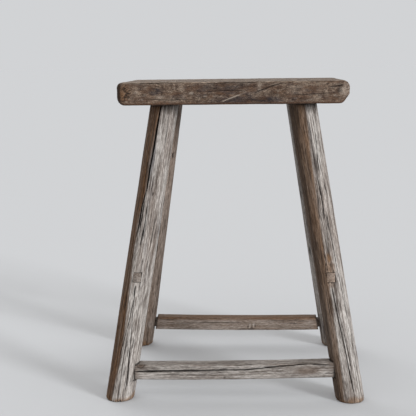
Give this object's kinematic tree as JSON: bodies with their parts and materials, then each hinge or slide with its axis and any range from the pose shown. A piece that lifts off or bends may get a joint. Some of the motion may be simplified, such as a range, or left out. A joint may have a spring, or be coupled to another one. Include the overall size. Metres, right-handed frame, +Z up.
{
  "type": "stool",
  "caption": "Splayed-leg wooden stool with a thick plank seat, round legs tenoned and wedged through it, and stretchers joining the legs.",
  "frame": {"origin": "on the floor, under the middle of the stool", "axes": "+Z up, +X to the right seen from the front along the seat's length, +Y from front to back"},
  "size_m": [0.4116, 0.3166, 0.5],
  "materials": {
    "seat_wood": "worn matt, weathered",
    "leg_wood": "worn matt, weathered",
    "stretcher_wood": "worn matt, weathered",
    "wedge_wood": "worn matt, weathered"
  },
  "bodies": {
    "root": {"seat": "seat_wood", "front_left_leg": "leg_wood", "front_right_leg": "leg_wood", "back_left_leg": "leg_wood", "back_right_leg": "leg_wood", "front_stretcher": "stretcher_wood", "back_stretcher": "stretcher_wood", "left_lower_stretcher": "stretcher_wood", "left_upper_stretcher": "stretcher_wood", "right_lower_stretcher": "stretcher_wood", "right_upper_stretcher": "stretcher_wood", "front_left_wedge": "wedge_wood", "front_right_wedge": "wedge_wood", "back_left_wedge": "wedge_wood", "back_right_wedge": "wedge_wood"}
  },
  "joints": []
}
